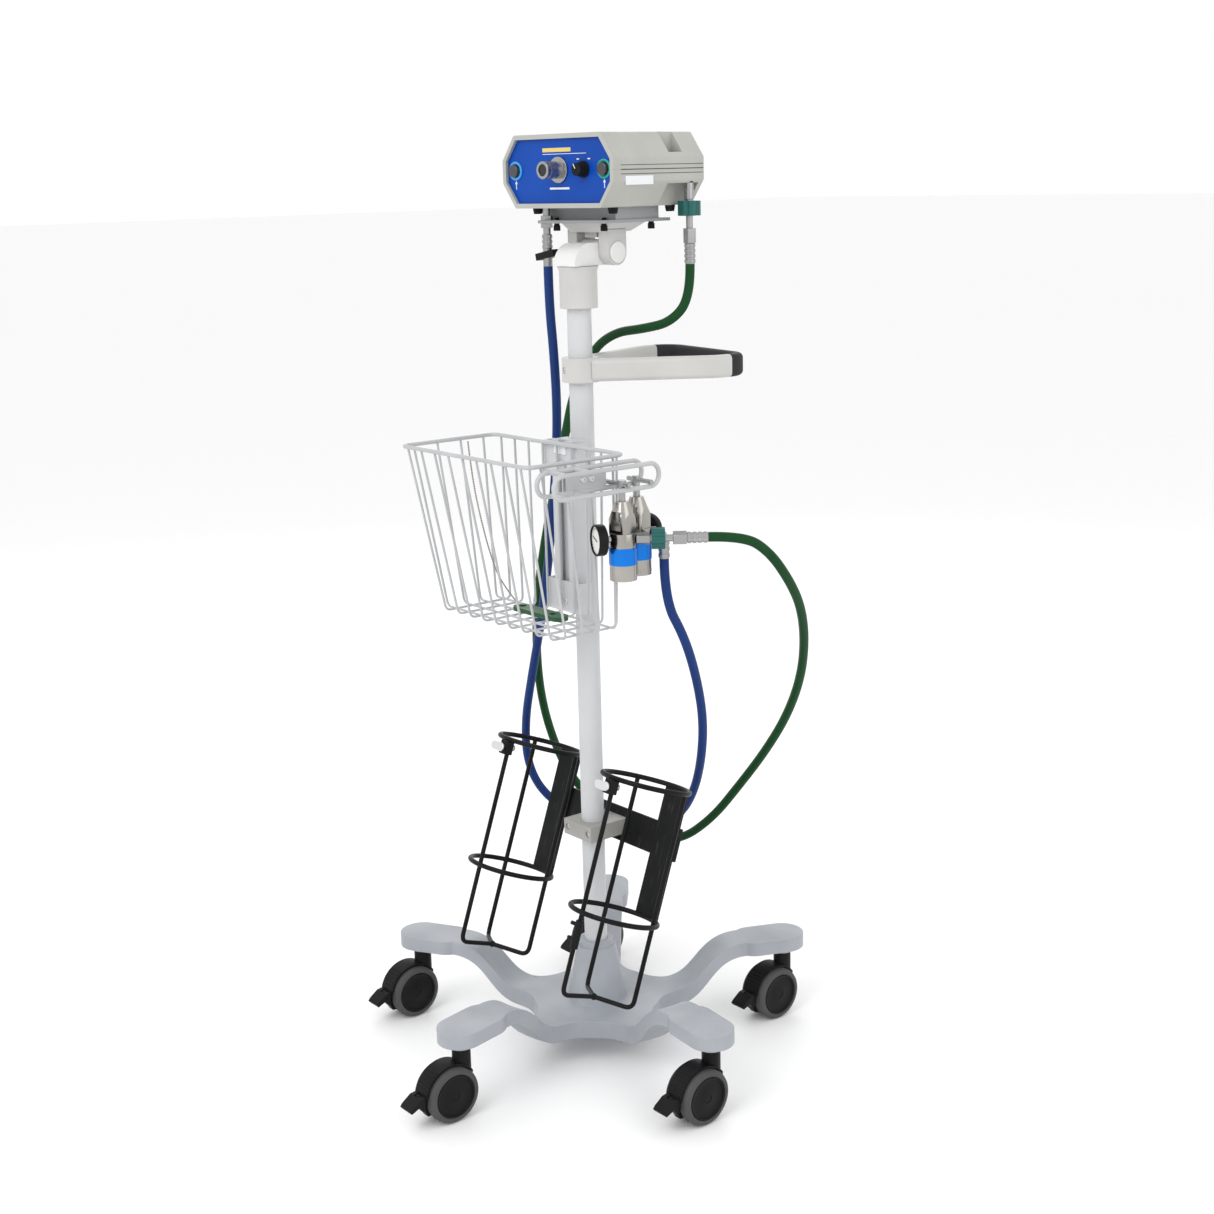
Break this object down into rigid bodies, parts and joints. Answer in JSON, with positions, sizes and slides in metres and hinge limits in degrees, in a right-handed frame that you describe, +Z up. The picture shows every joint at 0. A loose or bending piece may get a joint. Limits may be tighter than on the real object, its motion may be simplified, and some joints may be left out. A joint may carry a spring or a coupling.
{
  "type": "veterinary anesthesia machine",
  "caption": "Mobile gas mixer head on a roll stand with wire basket, twin leaning cylinder cradles, push handle, pressure regulators and gas hoses.",
  "frame": {"origin": "on the floor at the foot of the vertical pole axis", "axes": "+Z up the pole, -Y toward the front of the gas mixer and the basket, +Y toward the push handle, regulators at +X"},
  "size_m": [0.584, 0.6503, 1.259],
  "materials": {
    "grey_powder": "light grey powder coat",
    "pole_steel": "light grey powder coat",
    "zinc": "bright zinc",
    "chrome": "polished nickel",
    "black_plastic": "black moulded plastic",
    "tyre_grey": "dark grey rubber tyre",
    "black_paint": "black powder coat",
    "natural_block": "light machined plastic",
    "white_wire": "white coated wire",
    "wrench_green": "green plastic",
    "blue_anodised": "bright blue anodised",
    "gauge_black": "black gauge case",
    "handle_grey": "light warm grey",
    "grip_dark": "dark grey soft grip",
    "white_plastic": "off-white",
    "case_grey": "warm light grey",
    "panel_blue": "royal blue",
    "ring_colours": "coloured rings",
    "clear_window": "clear window",
    "dark_steel": "dark grey paint",
    "nut_green": "teal green",
    "hose_blue": "dark blue hose",
    "hose_green": "dark green hose"
  },
  "bodies": {
    "stand": {"base_casting": "grey_powder", "caster_stems": "zinc", "pole": "pole_steel", "pole_collar": "handle_grey", "cylinder_clamp": "natural_block", "holder_bar": "black_paint", "left_cradle": "black_paint", "right_cradle": "black_paint", "basket_channel": "grey_powder", "basket_brackets": "white_plastic", "basket": "white_wire", "cylinder_wrench": "wrench_green", "bead_chain": "chrome", "regulator_hanger": "white_wire", "regulator_yokes": "chrome", "regulator_sleeves": "blue_anodised", "regulator_gauges": "gauge_black", "handle_frame": "handle_grey", "handle_grip": "grip_dark", "lower_hose_fittings": "chrome", "nitrous_hose": "hose_blue", "oxygen_hose": "hose_green", "frame_screws": "zinc"},
    "left_wing_screw": {"left_wing_screw": "zinc"},
    "right_wing_screw": {"right_wing_screw": "zinc"},
    "oxygen_tee_screw": {"oxygen_tee_screw": "chrome"},
    "nitrous_tee_screw": {"nitrous_tee_screw": "chrome"},
    "outlet_hand_nut": {"outlet_hand_nut": "nut_green"},
    "neck": {"neck": "white_plastic"},
    "head": {"tilt_head": "handle_grey", "tilt_bolt": "zinc", "mounting_tray": "white_plastic", "thumb_screws": "black_plastic", "case_lower": "case_grey", "case_upper": "case_grey", "front_panel": "panel_blue", "patient_outlet": "chrome", "pressure_indicators": "clear_window", "indicator_rings": "ring_colours", "case_feet": "black_plastic", "gas_mixer": "dark_steel", "upper_hose_fittings": "chrome", "hose_clip": "black_plastic"},
    "selector_knob": {"selector_knob": "black_plastic"},
    "inlet_hand_nut": {"inlet_hand_nut": "nut_green"},
    "caster_1": {"caster_1_housing": "black_plastic"},
    "caster_1_wheels": {"caster_1_wheels": "tyre_grey"},
    "caster_1_pedal": {"caster_1_pedal": "black_plastic"},
    "caster_2": {"caster_2_housing": "black_plastic"},
    "caster_2_wheels": {"caster_2_wheels": "tyre_grey"},
    "caster_2_pedal": {"caster_2_pedal": "black_plastic"},
    "caster_3": {"caster_3_housing": "black_plastic"},
    "caster_3_wheels": {"caster_3_wheels": "tyre_grey"},
    "caster_3_pedal": {"caster_3_pedal": "black_plastic"},
    "caster_4": {"caster_4_housing": "black_plastic"},
    "caster_4_wheels": {"caster_4_wheels": "tyre_grey"},
    "caster_4_pedal": {"caster_4_pedal": "black_plastic"},
    "caster_5": {"caster_5_housing": "black_plastic"},
    "caster_5_wheels": {"caster_5_wheels": "tyre_grey"},
    "caster_5_pedal": {"caster_5_pedal": "black_plastic"}
  },
  "joints": [
    {"name": "caster_1_swivel", "type": "hinge", "parent": "stand", "child": "caster_1", "pos_m": [0.05534, -0.27448, 0.09], "axis": [0, 0, 1], "continuous": true},
    {"name": "caster_1_spin", "type": "hinge", "parent": "caster_1", "child": "caster_1_wheels", "pos_m": [0.05534, -0.29948, 0.0375], "axis": [1, 0, 0], "continuous": true},
    {"name": "caster_1_brake", "type": "hinge", "parent": "caster_1", "child": "caster_1_pedal", "pos_m": [0.05534, -0.34274, 0.04205], "axis": [1, 0, 0], "range_deg": [0, 12]},
    {"name": "caster_2_swivel", "type": "hinge", "parent": "stand", "child": "caster_2", "pos_m": [0.27814, -0.03218, 0.09], "axis": [0, 0, 1], "continuous": true},
    {"name": "caster_2_spin", "type": "hinge", "parent": "caster_2", "child": "caster_2_wheels", "pos_m": [0.27814, -0.05718, 0.0375], "axis": [1, 0, 0], "continuous": true},
    {"name": "caster_2_brake", "type": "hinge", "parent": "caster_2", "child": "caster_2_pedal", "pos_m": [0.27814, -0.10044, 0.04205], "axis": [1, 0, 0], "range_deg": [0, 12]},
    {"name": "caster_3_swivel", "type": "hinge", "parent": "stand", "child": "caster_3", "pos_m": [0.11656, 0.25459, 0.09], "axis": [0, 0, 1], "continuous": true},
    {"name": "caster_3_spin", "type": "hinge", "parent": "caster_3", "child": "caster_3_wheels", "pos_m": [0.11656, 0.22959, 0.0375], "axis": [1, 0, 0], "continuous": true},
    {"name": "caster_3_brake", "type": "hinge", "parent": "caster_3", "child": "caster_3_pedal", "pos_m": [0.11656, 0.18632, 0.04205], "axis": [1, 0, 0], "range_deg": [0, 12]},
    {"name": "caster_4_swivel", "type": "hinge", "parent": "stand", "child": "caster_4", "pos_m": [-0.20611, 0.18953, 0.09], "axis": [0, 0, 1], "continuous": true},
    {"name": "caster_4_spin", "type": "hinge", "parent": "caster_4", "child": "caster_4_wheels", "pos_m": [-0.20611, 0.16453, 0.0375], "axis": [1, 0, 0], "continuous": true},
    {"name": "caster_4_brake", "type": "hinge", "parent": "caster_4", "child": "caster_4_pedal", "pos_m": [-0.20611, 0.12126, 0.04205], "axis": [1, 0, 0], "range_deg": [0, 12]},
    {"name": "caster_5_swivel", "type": "hinge", "parent": "stand", "child": "caster_5", "pos_m": [-0.24394, -0.13745, 0.09], "axis": [0, 0, 1], "continuous": true},
    {"name": "caster_5_spin", "type": "hinge", "parent": "caster_5", "child": "caster_5_wheels", "pos_m": [-0.24394, -0.16245, 0.0375], "axis": [1, 0, 0], "continuous": true},
    {"name": "caster_5_brake", "type": "hinge", "parent": "caster_5", "child": "caster_5_pedal", "pos_m": [-0.24394, -0.20571, 0.04205], "axis": [1, 0, 0], "range_deg": [0, 12]},
    {"name": "left_wing_turn", "type": "hinge", "parent": "stand", "child": "left_wing_screw", "pos_m": [-0.1175, -0.06006, 0.41872], "axis": [0, 0.9426, -0.3338], "range_deg": [-180, 180]},
    {"name": "right_wing_turn", "type": "hinge", "parent": "stand", "child": "right_wing_screw", "pos_m": [0.1175, -0.06006, 0.41872], "axis": [0, 0.9426, -0.3338], "range_deg": [-180, 180]},
    {"name": "oxygen_tee_turn", "type": "hinge", "parent": "stand", "child": "oxygen_tee_screw", "pos_m": [0.172, -0.075, 0.83], "axis": [0, 0, 1], "range_deg": [-10, 5]},
    {"name": "nitrous_tee_turn", "type": "hinge", "parent": "stand", "child": "nitrous_tee_screw", "pos_m": [0.1575, -0.039, 0.83], "axis": [0, 0, 1], "range_deg": [-10, 10]},
    {"name": "outlet_nut_turn", "type": "hinge", "parent": "stand", "child": "outlet_hand_nut", "pos_m": [0.19951, -0.04066, 0.762], "axis": [0.6252, 0.7804, 0], "range_deg": [-360, 360]},
    {"name": "head_swivel", "type": "hinge", "parent": "stand", "child": "neck", "pos_m": [0, 0, 1.09], "axis": [0, 0, 1], "range_deg": [-45, 45], "deforming": ["nitrous_hose", "oxygen_hose"]},
    {"name": "head_tilt", "type": "hinge", "parent": "neck", "child": "head", "pos_m": [-0.00376, 0.0358, 1.108], "axis": [0.9945, 0.1045, 0], "range_deg": [-20, 12], "deforming": ["nitrous_hose", "oxygen_hose"]},
    {"name": "knob_turn", "type": "hinge", "parent": "head", "child": "selector_knob", "pos_m": [0.04778, -0.02414, 1.214], "axis": [-0.1045, 0.9945, 0], "range_deg": [0, 60]},
    {"name": "inlet_nut_turn", "type": "hinge", "parent": "head", "child": "inlet_hand_nut", "pos_m": [0.08377, 0.12142, 1.13], "axis": [0, 0, 1], "range_deg": [-360, 360]}
  ]
}
